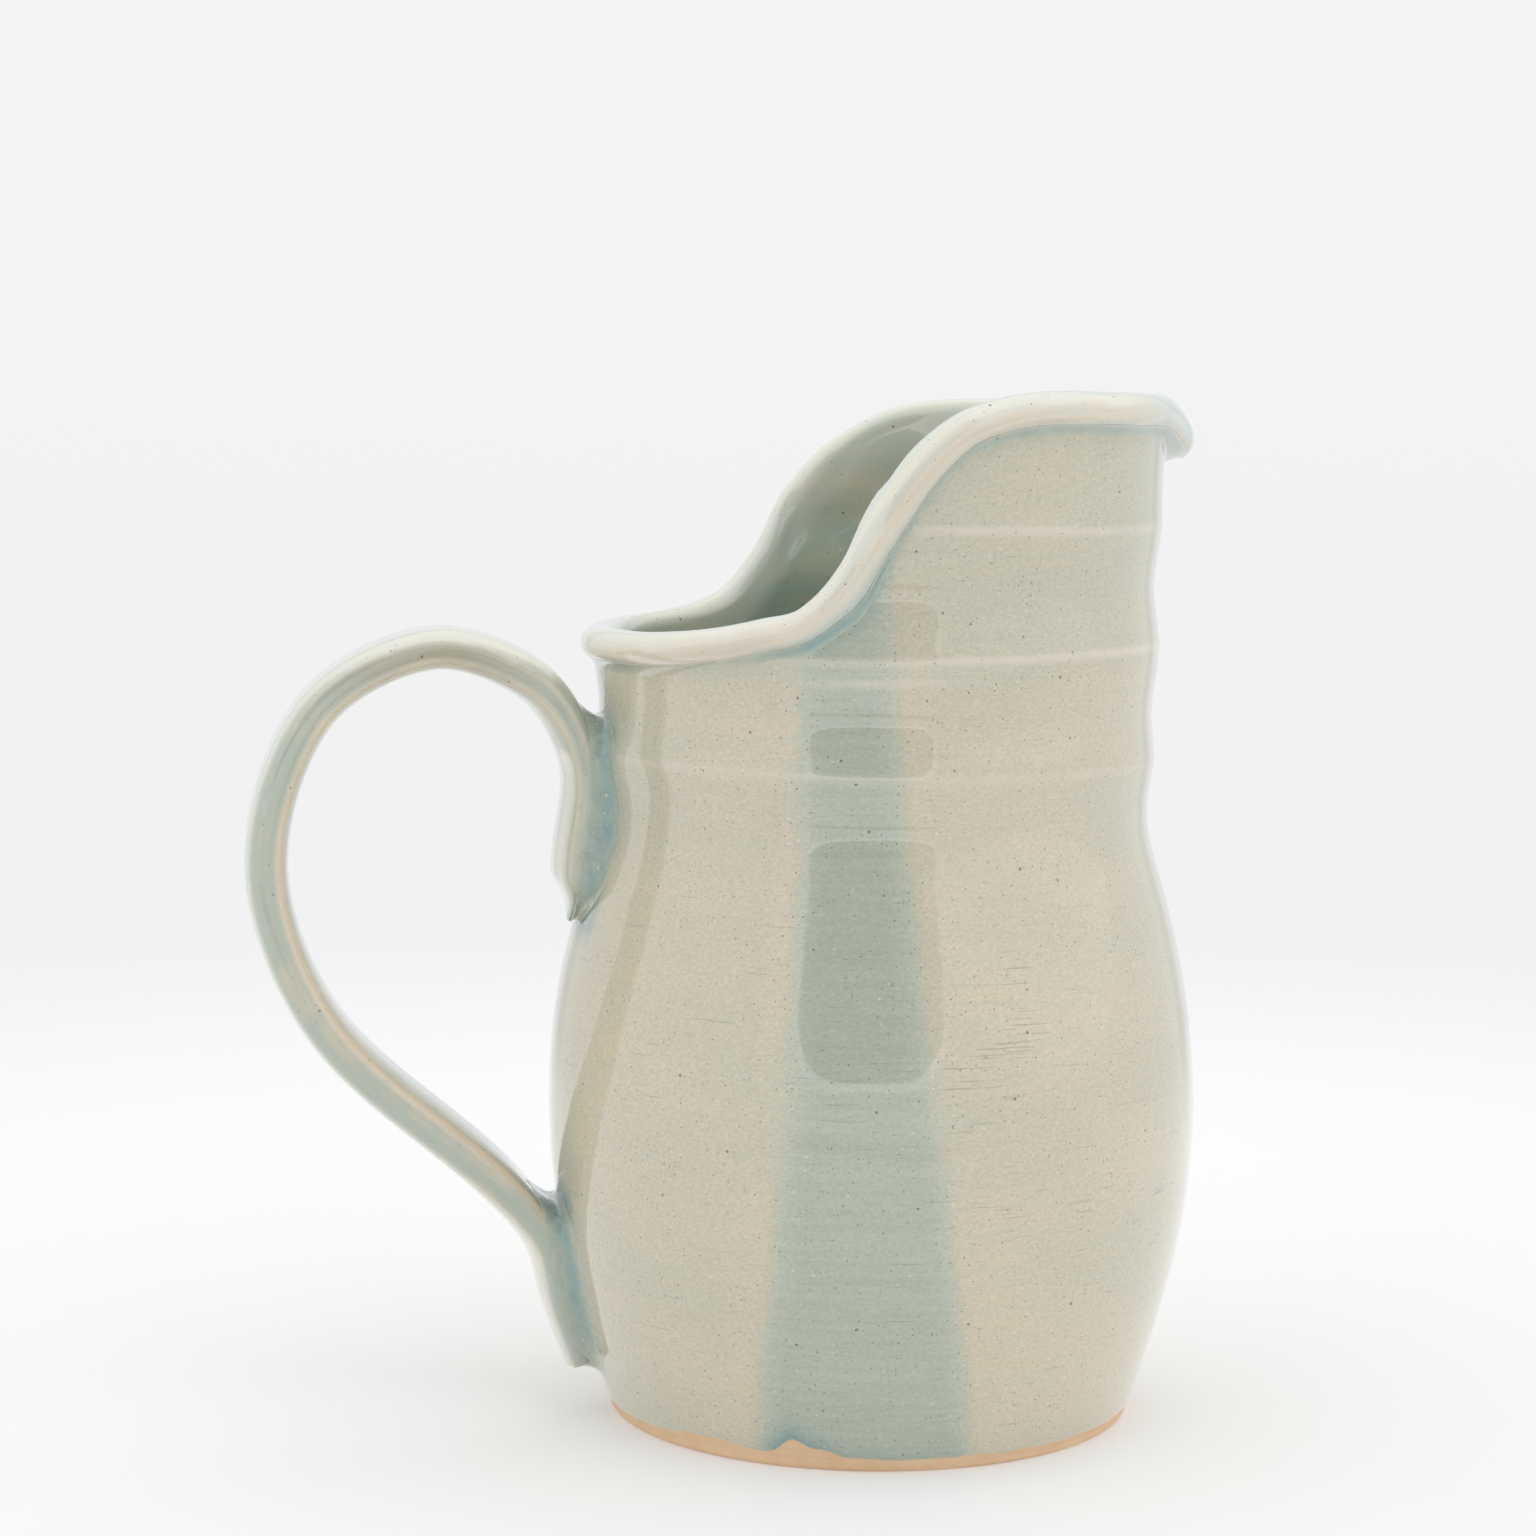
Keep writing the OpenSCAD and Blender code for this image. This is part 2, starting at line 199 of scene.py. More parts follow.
band_left = [(0, -23.4), (8, -22.2), (40, -16.4), (72, -13.3), (126, -14.2), (200, -14)]
band_right = [(0, 21.6), (8, 20.1), (40, 13.8), (72, 10.7), (126, 6.1), (147, 3.9), (200, 3)]
back_left, back_right = -17, 15
field_reach = 20


def held(distance):
    """Distance kept within the reach of the fields that the mesh carries."""
    return max(-field_reach, min(field_reach, distance))


def poured(z, a):
    """How far inside the doubled pour a place is, in millimetres, and negative outside it."""
    f = faced(a)
    wave = 0.8 * noise.noise(Vector((z / 19, 5.5, math.cos(a))))
    left, right = between(band_left, z) + wave, between(band_right, z) + wave
    back = (f + 180) % 360
    inside = max(min(f - left, right - f),
                 min(back - back_left + wave, back_right - wave - back),
                 min(back - 360 - back_left - wave, 360 + back_right - back))
    return held(math.radians(inside) * wall_r(z))


groove_pool = [(-180, 0.35), (-90, 0.4), (-62, 0.45), (-48, 0.25), (-30, 0.3),
               (-15, 0.65), (0, 0.65), (9, 0.5), (70, 0.55), (180, 0.35)]
joint_pool = 0.7
strap_w, tail_w = 24, 20
upper_end_z, upper_joint_z = waist_z - 22.5, waist_z + 8
lower_joint_z, lower_end_z = 36, 10.5


def scuffed(z, f):
    """How thickly the trimming scratches lie at a height and an angle from the side that is seen first."""
    patch = math.exp(-((f - 24) / 13)**2 - ((z - 84) / 12)**2)
    low = math.exp(-((z - 51) / 2.2)**2) * eased((f - 15) / 8) * eased((72 - f) / 8)
    high = 0.7 * math.exp(-((z - 79) / 3)**2) * eased((f + 22) / 6) * eased((14 - f) / 6)
    return max(patch, low, high, 0.2 * eased((112 - z) / 6))


def beside_strap(y, z):
    """Distance on the wall from the edge of the nearer handle joint."""
    spans = []
    for low, high, half in ((upper_end_z, upper_joint_z + 7, strap_w / 2),
                            (lower_end_z, lower_joint_z + 8, strap_w / 2 - 3 * (z < lower_joint_z))):
        out = max(0, abs(y) - half)
        spans.append(math.hypot(out, max(low - z, z - high, 0)))
    return min(spans)


glaze_t, lap_t = 0.3, 1.2
bm = bmesh.new()
inside = bm.verts.layers.float.new("inside")
band = bm.verts.layers.float.new("band")
pool = bm.verts.layers.float.new("pool")
ridge = bm.verts.layers.float.new("ridge")
share = bm.verts.layers.float.new("share")
above = bm.verts.layers.float.new("above")
worn = bm.verts.layers.float.new("worn")
foot_top, neck_z, straight_z = 9.6, 127, 149.6
foot_rows, wall_rows, neck_rows, cut_rows = 25, 102, 45, 100
foot_edge = wall_r(foot_round) - foot_round
corner_z = floor_t + floor_corner
corner_r = wall_r(corner_z) - wall - floor_corner
section = [(r, 0, 0) for r in (0, 12, 24, 36, 44)]
for t in range(-90, 1, 15):
    section.append((foot_edge + foot_round * math.cos(math.radians(t)),
                    foot_round * (1 + math.sin(math.radians(t))), 0))
heights = [foot_round + 0.32 * i for i in range(1, foot_rows + 1)]
heights += [foot_top + (neck_z - foot_top) * i / wall_rows for i in range(wall_rows + 1)]
heights += [neck_z + (straight_z - neck_z) * i / neck_rows for i in range(1, neck_rows + 1)]
heights += [straight_z + (overall_h - straight_z) * i / cut_rows for i in range(1, cut_rows + 1)]
section += [(wall_r(z), z, 0) for z in heights]
section += [(wall_r(z) - wall, z, 1) for z in heights[:-cut_rows:-3]]
section += [(wall_r(z) - wall, z, 1) for z in heights[-cut_rows - 2:foot_rows - 1:-4] if z > corner_z + 1]
for t in range(0, -91, -10):
    section.append((corner_r + floor_corner * math.cos(math.radians(t)),
                    corner_z + floor_corner * math.sin(math.radians(t)), 1))
section += [(r, floor_t, 1) for r in (30, 20, 10, 0)]
drawn = []
for r, z, side in section:
    point = bm.verts.new((r, 0, z))
    point[inside] = side
    drawn.append(point)
edges = [bm.edges.new(pair) for pair in zip(drawn, drawn[1:])]
bmesh.ops.spin(bm, geom=drawn + edges, cent=(0, 0, 0), axis=(0, 0, 1), angle=2 * math.pi, steps=256,
               use_merge=True)
bmesh.ops.remove_doubles(bm, verts=bm.verts, dist=0.0001)
for point in bm.verts:
    x, y, z = point.co
    r, a = math.hypot(x, y), math.atan2(y, x)
    if r < 0.001:
        point[above] = field_reach if point[inside] else -field_reach
        continue
    thick = wall if point[inside] else 0
    if z > straight_z:
        edge_r = wall_r(rim_z(collar_r, a)) - thick
        cut = seat_z(edge_r, a) - 0.05
        z = straight_z + (cut - straight_z) * (z - straight_z) / (overall_h - straight_z)
    if point[inside]:
        point[above] = field_reach
        point[band] = -field_reach
        if z > corner_z:
            r = inner_r(z, a) + lap_t * eased((z - rim_z(collar_r, a) + 14) / 6)
        point[pool] = 0.5 * eased((corner_z - z) / floor_corner)
    else:
        _, point[ridge], point[share] = crest(z, a)
        r += skin_r(z, a) - wall_r(point.co.z)
        point[band] = poured(z, a)
        point[worn] = scuffed(z, faced(a))
        line = clay_line(a)
        point[above] = held(z - line) if z > 0.001 else -field_reach
        r += glaze_t * (eased((z - line) / 0.8) - 1) * (z > 0.001)
        groove = rim_z(collar_r, a) - coil_r * rim_stretch(collar_r, a) - 1.8 - z
        lip = 0.42 * between(groove_pool, faced(a)) * math.exp(-max(0, groove) / 2.8)
        joint = joint_pool * math.exp(-(beside_strap(y, z) / 3.4)**2) if x < 0 else 0
        foot = 0.2 + 0.25 * eased(point[band] / 3) + 0.5 * math.exp(-((faced(a) + 15) / 7)**2)
        point[pool] = max(lip, joint, foot * math.exp(-max(0, z - line) / 3.6))
    point.co = (r * math.cos(a), r * math.sin(a), z)


def fired(bm, name, body="root"):
    """Turns clay worked in millimetres into a finished piece, in metres, that rides on the part."""
    bmesh.ops.recalc_face_normals(bm, faces=bm.faces)
    bmesh.ops.scale(bm, vec=(0.001, 0.001, 0.001), verts=bm.verts)
    mesh = bpy.data.meshes.new(name)
    bm.to_mesh(mesh)
    bm.free()
    mesh.shade_smooth()
    piece = bpy.data.objects.new(name, mesh)
    bpy.context.scene.collection.objects.link(piece)
    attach(piece, body)
    return piece


body = fired(bm, "body")
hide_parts("thrown_body")


class Wash:
    """One socket in a finish, so that sums can be written with it."""

    def __init__(self, tree, socket=None):
        self.tree = tree
        self.socket = socket

    def node(self, kind, settings=(), sockets=(), out=0):
        """New node: its settings are made first, and then its sockets are set or linked."""
        made = self.tree.nodes.new(kind)
        for name, value in dict(settings).items():
            setattr(made, name, value)
        for name, value in dict(sockets).items():
            if isinstance(value, Wash):
                self.tree.links.new(value.socket, made.inputs[name])
            else:
                made.inputs[name].default_value = value
        return Wash(self.tree, made.outputs[out])

    def sum(self, operation, a, b):
        """Sum of two values, by the name of its operation."""
        return self.node("ShaderNodeMath", {"operation": operation}, {0: a, 1: b})

    def __add__(self, other):
        return self.sum("ADD", self, other)

    def __sub__(self, other):
        return self.sum("SUBTRACT", self, other)

    def __rsub__(self, other):
        return self.sum("SUBTRACT", other, self)

    def __mul__(self, other):
        return self.sum("MULTIPLY", self, other)

    __radd__ = __add__
    __rmul__ = __mul__

    def eased(self, low, high):
        """Smooth step of a value from 0 at low to 1 at high."""
        return self.node("ShaderNodeMapRange", {"interpolation_type": "SMOOTHSTEP"},
                         {"Value": self, "From Min": low, "From Max": high})

    def over(self, ground, tint):
        """Tint laid over a ground colour by this value."""
        return self.node("ShaderNodeMix", {"data_type": "RGBA"}, {0: self, 6: ground, 7: tint}, out=2)

    def shaded(self, share):
        """Colour made lighter or darker by a share."""
        return self.node("ShaderNodeVectorMath", {"operation": "SCALE"}, {0: self, 3: share})

    def field(self, name):
        """Value that the mesh carries at each point."""
        return self.node("ShaderNodeAttribute", {"attribute_name": name}, out=2)

    def place(self, stretch=(1, 1, 1)):
        """Place on the piece, in millimetres, drawn out or pressed together along each axis."""
        spot = self.node("ShaderNodeTexCoord", out=3)
        scale = [1000 * part for part in stretch]
        return self.node("ShaderNodeVectorMath", {"operation": "MULTIPLY"}, {0: spot, 1: scale})

    def cloud(self, size, detail=3.0, stretch=(1, 1, 1), rough=0.5):
        """Soft random clouds of a size in millimetres."""
        return self.node("ShaderNodeTexNoise", {}, {"Vector": self.place(stretch), "Scale": 1 / size,
                                                    "Detail": detail, "Roughness": rough})

    def specks(self, spacing, largest, share):
        """Round specks at a mean spacing, up to a radius, both in millimetres, in a share of the places."""
        cells = {"Vector": self.place(), "Scale": 1 / spacing}
        away = self.node("ShaderNodeTexVoronoi", {}, cells)
        tint = self.node("ShaderNodeTexVoronoi", {}, cells, out=1)
        luck = self.node("ShaderNodeSeparateColor", {}, {0: tint})
        reach = luck.eased(1 - share, 1) * (largest / spacing)
        return (reach - away).eased(0, 0.3 * largest / spacing)


def glazed(piece, name):
    """New finish on a piece, ready for its colours."""
    finish = bpy.data.materials.new(name)
    finish.use_nodes = True
    piece.data.materials.clear()
    piece.data.materials.append(finish)
    return Wash(finish.node_tree)


def fire_finish(wash, colour, gloss, relief, depth, coat=None):
    """Sets the colour, the gloss, a fine relief in millimetres and the clear coat of a finish."""
    bump = wash.node("ShaderNodeBump", {}, {"Strength": 1.0, "Distance": depth / 1000, "Height": relief})
    shader = wash.tree.nodes["Principled BSDF"]
    for name, value in (("Base Color", colour), ("Roughness", gloss), ("Normal", bump)):
        wash.tree.links.new(value.socket, shader.inputs[name])
    shader.inputs["IOR"].default_value = 1.5
    shader.inputs["Coat Weight"].default_value = 1
    shader.inputs["Coat Roughness"].default_value = 0.012
    if coat:
        wash.tree.links.new(coat.socket, shader.inputs["Coat Weight"])


cream = (0.706, 0.613, 0.456, 1)
warm_cream = (0.720, 0.610, 0.450, 1)
green_cream = (0.625, 0.583, 0.450, 1)
celadon = (0.430, 0.470, 0.378, 1)
pale_celadon = (0.500, 0.545, 0.458, 1)
pale_break = (0.720, 0.665, 0.550, 1)
pooled_blue = (0.200, 0.345, 0.340, 1)
iron = (0.110, 0.095, 0.070, 1)
grog = (0.760, 0.710, 0.590, 1)
bare_clay = (0.830, 0.600, 0.385, 1)
bare_clay_dark = (0.720, 0.490, 0.300, 1)
inner_celadon = (0.345, 0.470, 0.395, 1)
inner_olive = (0.560, 0.510, 0.360, 1)


def poured_glaze(wash):
    """Colour of the thin glaze over the clay, doubled where the mesh says so, and its two sizes of cloud."""
    streaks = wash.cloud(1.3, 4, (0.05, 0.05, 1))
    broad = wash.cloud(26, 3, (0.6, 0.6, 1))
    mottle = wash.cloud(3.2, 4)
    grain = wash.cloud(0.5, 3, (0.6, 0.6, 1), 0.7)
    inset = wash.field("band") + (mottle - 0.5) * 2.2 + (broad - 0.5) * 3.0
    ground = (broad + (mottle - 0.5) * 0.4).eased(0.3, 0.7).over(green_cream, cream)
    fringe = inset.eased(-8, -2) * wash.cloud(9, 2, (1, 1, 0.25)).eased(0.35, 0.65)
    ground = (fringe * 0.75).over(ground, warm_cream)
    height = wash.node("ShaderNodeSeparateXYZ", {}, {0: wash.place()}, out=2)
    thick = (streaks - 0.5) * 1.2 + (mottle - 0.5) * 0.45 + height.eased(120, 165) * 0.34
    ground = (thick + 0.3).eased(-0.4, 2.0).over(ground, celadon)
    doubled = (inset.eased(6, 0) * 0.5 + thick * 0.6 + 0.25).over(celadon, pale_celadon)
    colour = inset.eased(-3.0, 2.6).over(ground, doubled)
    return colour.shaded(1 + (grain - 0.5) * 0.55 + (streaks - 0.5) * 0.12), mottle, streaks


def pooled(wash, colour, mottle):
    """Colour with the glaze gathered blue where the mesh says so."""
    return (wash.field("pool") * (mottle * 0.7 + 0.65)).eased(0.0, 1.0).over(colour, pooled_blue)


def inner_glaze(wash):
    """Colour of the thicker glaze inside, in soft rings."""
    rings = wash.cloud(3.2, 3, (0.06, 0.06, 1)) * 0.3 + wash.cloud(5, 3) * 0.2 + wash.cloud(24, 2) * 0.5
    return rings.eased(0.32, 0.66).over(inner_olive, inner_celadon)


wash = glazed(body, "speckled_celadon_glaze")
colour, mottle, streaks = poured_glaze(wash)
colour = wash.field("inside").over(colour, inner_glaze(wash))
over = wash.field("ridge")
break_line = over.eased(-1.8, 0.1) * over.eased(1.4, 0.1) * wash.field("share") * (mottle * 1.1 + 0.25)
colour = break_line.over(colour, pale_break)
colour = pooled(wash, colour, mottle)
scratch = wash.cloud(0.34, 1, (0.03, 0.03, 1)) + wash.field("worn") * 0.10
scratch = scratch.eased(0.70, 0.82) * wash.field("worn").eased(0, 0.3)
colour = (scratch * 0.4).over(colour, iron)
dark_specks = wash.specks(0.9, 0.24, 0.55) * 0.5 + wash.specks(2.6, 0.36, 0.28) * 0.75
colour = dark_specks.over(colour, iron)
colour = (wash.specks(1.9, 0.34, 0.5) * 0.55).over(colour, grog)
glaze = (wash.field("above") + (mottle - 0.5) * 0.5).eased(-0.1, 0.25)
clay = (streaks * 0.7 + mottle * 0.5).eased(0.3, 0.9).over(bare_clay_dark, bare_clay)
colour = glaze.over(clay, colour)
gloss = 0.80 - glaze * 0.75 + scratch * 0.1
relief = wash.cloud(9, 1) * 0.4 + streaks * 0.03 - dark_specks * 0.08 - scratch * 0.1
fire_finish(wash, colour, gloss, relief, 0.12, glaze)


# The rim slip is the bed of liquid clay that the coil was pressed into. It squeezed out as a small fillet
# under the coil, and there the glaze gathered into a pooled blue line.
def ring_of_clay(sides, steps, turn=2 * math.pi):
    """Ring whose points know their place along it and round its section, ready to be moved."""
    ring_r = 10
    bm = bmesh.new()
    along = bm.verts.layers.float.new("along")
    around = bm.verts.layers.float.new("around")
    upright = Matrix.Translation((ring_r, 0, 0)) @ Matrix.Rotation(math.pi / 2, 4, "X")
    made = bmesh.ops.create_circle(bm, segments=sides, radius=1, matrix=upright)
    for point in made["verts"]:
        point[around] = math.atan2(point.co.z, point.co.x - ring_r) % (2 * math.pi)
    bmesh.ops.spin(bm, geom=bm.verts[:] + bm.edges[:], cent=(0, 0, 0), axis=(0, 0, 1), angle=turn, steps=steps,
                   use_merge=turn >= 2 * math.pi)
    for point in bm.verts:
        point[along] = math.atan2(point.co.y, point.co.x) % (2 * math.pi)
    return bm, along, around


bed_gap, coil_overhang = 0.15, 2.2
lip_reach, lip_drop, lip_half_angle, lip_sag = 4, 5, 30, 0.9


def coil_middle(a):
    """Radius and height of the coil's middle, its stretch, the wall's face under it and the lip's share."""
    level = rim_z(collar_r, a)
    off = (math.degrees(a) + 180) % 360 - 180
    share = math.cos(math.radians(90 * off / lip_half_angle))**2 if abs(off) < lip_half_angle else 0
    lap = coil_r * rim_stretch(collar_r, a) + lip_drop * share
    face = max(wall_r(level - part * lap / 4) for part in range(5)) + bed_gap
    middle = face + coil_overhang - coil_r
    return middle, rim_z(middle, a) - lip_sag * share, rim_stretch(middle, a), face, share


def coil_point(a, t, grow=0.0):
    """Radius and height of a point on the coil at an angle round the rim and an angle round its section."""
    middle, level, stretch, face, share = coil_middle(a)
    far = eased(0.5 + 1.2 * math.cos(t + math.atan2(lip_drop, lip_reach)))
    thick = coil_r + grow
    return (middle + far * lip_reach * share + thick * math.cos(t),
            level - far * lip_drop * share + stretch * thick * math.sin(t))


def bent(start, corner, end, u):
    """Point on the hollow curve of a fillet from one face to the other."""
    return [a * (1 - u)**2 + 2 * b * u * (1 - u) + c * u * u for a, b, c in zip(start, corner, end)]


slip_sides, slip_back, fillet_h = 20, 4, 1.8
leave = math.radians(-52)
bm, along, around = ring_of_clay(slip_sides, 288)
band = bm.verts.layers.float.new("band")
pool = bm.verts.layers.float.new("pool")
visible = slip_sides - slip_back
for point in bm.verts:
    a = point[along]
    k = round(point[around] * slip_sides / (2 * math.pi)) % slip_sides
    middle, level, stretch, face, share = coil_middle(a)
    gather = between(groove_pool, faced(a))
    top = coil_point(a, leave, -0.04)
    turn = (face - 0.1 - middle - coil_r * math.cos(leave)) / math.sin(leave)
    corner_level = stretch * (coil_r * math.sin(leave) - turn * math.cos(leave)) - lip_drop * share + level
    corner_level = min(top[1] - 1, corner_level)
    foot_level = corner_level - fillet_h
    foot = (skin_r(foot_level, a) - 0.08, foot_level)
    corner = (skin_r(corner_level, a) + 0.05, corner_level)
    if k <= visible:
        r, z = bent(foot, corner, top, k / visible)
        u = k / visible
        point[pool] = gather * (0.35 + 0.65 * eased(u / 0.6)) * (1 - 0.4 * eased((u - 0.75) / 0.25))
    else:
        hidden = ((top[0] - 0.6, top[1] + 0.4), (face - 1, corner_level + 0.6), (foot[0] - 0.6, foot[1]))
        r, z = hidden[k - visible - 1]
    point[band] = poured(z, a)
    point.co = (r * math.cos(a), r * math.sin(a), z)
rim_slip = fired(bm, "rim_slip_fillet")
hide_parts("rim_slip")

wash = glazed(rim_slip, "pooled_rim_glaze")
colour, mottle, _ = poured_glaze(wash)
colour = pooled(wash, colour, mottle)
colour = (wash.specks(2.4, 0.32, 0.45) * 0.7).over(colour, iron)
fire_finish(wash, colour, 0.06 + mottle * 0.04, mottle, 0.03)


# The rim coil is a rolled rope of the same clay, laid on the cut edge and drawn out into the pouring lip.
# Its top is creamy white, partly the glaze's own cream and partly painted light from above, and its glaze
# breaks to peach along its lower half.
coil_cream_and_top_light = (0.850, 0.825, 0.710, 1)
coil_peach = (0.690, 0.590, 0.455, 1)
coil_tan = (0.600, 0.500, 0.375, 1)
coil_cool = (0.660, 0.745, 0.705, 1)

coil_sides, skirt_sides, coil_back, skirt = 64, 16, 6, 22
rounds = coil_sides - skirt_sides - coil_back
coil_from, coil_turn = math.radians(-62), math.radians(242)
bm, along, around = ring_of_clay(coil_sides, 320)
inner = bm.verts.layers.float.new("inner")
lane = bm.verts.layers.float.new("lane")
cool = bm.verts.layers.float.new("cool")
pool = bm.verts.layers.float.new("pool")
for point in bm.verts:
    a = point[along]
    k = round(point[around] * coil_sides / (2 * math.pi)) % coil_sides
    middle, level, stretch, face, share = coil_middle(a)
    t = coil_from + coil_turn * min(1, k / rounds)
    dent = 0.14 * noise.noise(Vector((4 * math.cos(a), 4 * math.sin(a), 0.5 * math.cos(t))))
    r, z = coil_point(a, t, (dent - 0.08) * eased((math.pi - t) / 0.8))
    point[inner] = 0.5 * eased((t - 1.9) / 1.1)
    if k > rounds:
        down = (k - rounds) / skirt_sides
        if down <= 1:
            z = level - skirt * down
            r += (inner_r(z, a) - 0.1 + 0.33 * max(0, down - 0.4) - r) * eased(down / 0.4)
            point[inner] += 0.5 * eased(down / 0.45)
        else:
            back = (k - rounds - skirt_sides) / coil_back
            z = level - skirt + (skirt - 2.4 * stretch) * eased(back)
            r = inner_r(z, a) + 0.6 + (face - 0.6 - inner_r(z, a)) * eased((back - 0.5) / 0.5)
    point[lane] = t
    off = math.degrees(abs(math.atan2(math.sin(a), math.cos(a))))
    lip_tint = 0.9 * eased((1.7 * lip_half_angle - off) / 30)
    point[cool] = max(eased((t - 0.7) / 1.0) * (0.7 * eased(0.5 - math.sin(a)) + 0.1),
                      lip_tint * eased((t + 0.9) / 0.6))
    under = eased((-0.2 - math.sin(t)) / 0.6) if k < rounds / 3 else 0
    point[pool] = max(0.7 * between(groove_pool, faced(a)) * under, 0.22 * lip_tint * eased(math.sin(t) / 0.8))
    point.co = (r * math.cos(a), r * math.sin(a), z)
coil = fired(bm, "rim_bead")
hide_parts("rim_coil")

wash = glazed(coil, "rim_break_glaze")
mottle = wash.cloud(3, 4)
drift = wash.cloud(14, 3)
round_it = wash.node("ShaderNodeCombineXYZ", {}, {2: wash.field("lane") * 1.9})
rolled = wash.node("ShaderNodeVectorMath", {}, {0: wash.place((0.035, 0.035, 0.01)), 1: round_it})
rolled = wash.node("ShaderNodeTexNoise", {}, {"Vector": rolled, "Scale": 1.0, "Detail": 3.0})
lane = wash.field("lane") + (drift - 0.5) * 0.8 + (rolled - 0.5) * 1.6
# Cream over the top and inside, peach along the lower half; the cream top is partly painted light from above.
colour = (lane.eased(0.6, -0.2) * 0.65).over(coil_cream_and_top_light, coil_peach)
colour = (rolled.eased(0.48, 0.68) * lane.eased(1.0, 0.2) * lane.eased(-0.9, -0.4) * 0.5).over(colour, coil_tan)
colour = (rolled.eased(0.50, 0.32) * 0.5).over(colour, coil_cool)
colour = (wash.field("cool") + (rolled - 0.5) * 0.3).over(colour, coil_cool)
colour = wash.field("inner").over(colour, inner_glaze(wash))
colour = pooled(wash, colour, mottle)
dark_specks = wash.specks(1.0, 0.19, 0.6) * 0.5 + wash.specks(2.6, 0.34, 0.4) * 0.75
colour = dark_specks.over(colour, iron)
fire_finish(wash, colour, 0.06 + mottle * 0.05, rolled * 0.8 + wash.cloud(5, 2) * 0.5 - dark_specks * 0.2, 0.10)


# The handle is a strap pulled from a lump of clay, stroke by stroke, so long shallow lines run down it.
# It is pressed on the wall at both ends, and its glaze breaks to peach along the edges of the strap.
strap_t, press_t, tail_t = 8.6, 6.8, 6.4
loop_top = (-waist_r - 33.6, waist_z + 30.5, strap_w, strap_t)
loop_back = (-waist_r - 65.1, waist_z - 12, strap_w, strap_t)
loop_return_z = lower_joint_z + 12
end_narrowing, end_thinning = 0.75, 0.3
tail_narrowing, tail_thinning = 0.9, 0.85
strap_squareness, hug_reach = 3.2, 2
tongue_knots, tongue_narrowing, tongue_thinning = 0.9, 0.7, 0.45


def on_wall(z, wide, thick):
    """Knot of the strap where it lies on the wall."""
    return (-(wall_r(z) + slip_t + thick / 2), z, wide, thick)


def rounding(a, b):
    """Knot in the middle of the quarter oval from an upright stretch to a level one."""
    turn = math.sin(math.radians(45))
    return (a[0] + (b[0] - a[0]) * (1 - turn), a[1] + (b[1] - a[1]) * turn, b[2], b[3])


strap_knots = [Vector(knot) for knot in (
    on_wall(upper_end_z, strap_w * end_narrowing, press_t * end_thinning),
    on_wall((upper_end_z * 2 + upper_joint_z) / 3, strap_w, press_t),
    on_wall(upper_joint_z, strap_w, press_t),
    rounding(on_wall(upper_joint_z, strap_w, press_t), loop_top),
    loop_top,
    rounding(loop_back, loop_top),
    loop_back,
    (-waist_r - 53.9, waist_z - 43, strap_w, strap_t),
    (-wall_r(loop_return_z) - 12.2, loop_return_z, strap_w, strap_t),
    on_wall(lower_joint_z, strap_w, (strap_t + tail_t) / 2),
    on_wall((lower_joint_z + lower_end_z) / 2, (strap_w + tail_w) / 2, tail_t),
    on_wall(lower_end_z, tail_w * tail_narrowing, tail_t * tail_thinning),
)]
strap_last = len(strap_knots) - 1
strap_runs = [0]
for low, high in zip(strap_knots, strap_knots[1:]):
    strap_runs.append(strap_runs[-1] + (high - low).xy.length)
strap_curve = []
for i, knot in enumerate(strap_knots):
    low, high = max(0, i - 1), min(strap_last, i + 1)
    slope = (strap_knots[high] - strap_knots[low]) / (strap_runs[high] - strap_runs[low])
    strap_curve.append((strap_runs[i], knot, slope))


def strap_middle(s):
    """Middle of the strap, its width and its thickness, at a count of knots from its upper end."""
    i = min(int(max(s, 0)), strap_last - 1)
    low, high = strap_curve[i], strap_curve[i + 1]
    return cubic(low, high, low[0] + (high[0] - low[0]) * (s - i))


def squared(t, squareness):
    """How far out a rounded square lies at an angle, where a circle lies 1 out."""
    return (abs(math.cos(t))**squareness + abs(math.sin(t))**squareness)**(-1 / squareness)


def tongue(s):
    """Share of the strap's width that is left where a thumb drew its upper end out to a tongue."""
    return 1 - tongue_narrowing * max(0, 1 - s / tongue_knots)**2


def strap_point(s, t, shrink=1.0, ahead=0.0, lines=0.0):
    """Point of the strap's skin at a count of knots and an angle round its section."""
    s = min(max(s, 0), strap_last)
    x, z, wide, thick = strap_middle(s)
    smoothed = tongue_thinning * thick * (1 - eased(s / tongue_knots))
    x, thick = x + smoothed / 2, thick - smoothed
    step = (strap_middle(min(s + 0.1, strap_last)) - strap_middle(max(s - 0.1, 0))).xy.normalized()
    off = -x - wall_r(z) - slip_t - thick / 2
    hug = 1 - eased(off / (hug_reach * strap_t))
    square = squared(t, strap_squareness)
    y = (wide * tongue(s) / 2 + lines) * square * math.cos(t) * shrink
    lift = (thick / 2 + lines) * square * math.sin(t) * shrink
    bend = -x - math.sqrt(x * x - y * y)
    px, pz = x + lift * step.y + hug * bend + step.x * ahead, z - lift * step.x + step.y * ahead
    r = math.hypot(px, y)
    clear = max(r, wall_r(pz) + slip_t) / r
    return Vector((px * clear, y * clear, pz))


strap_rings, strap_sides, cap_rings, tip_round, tail_round = 300, 112, 6, 0.7, 2.2


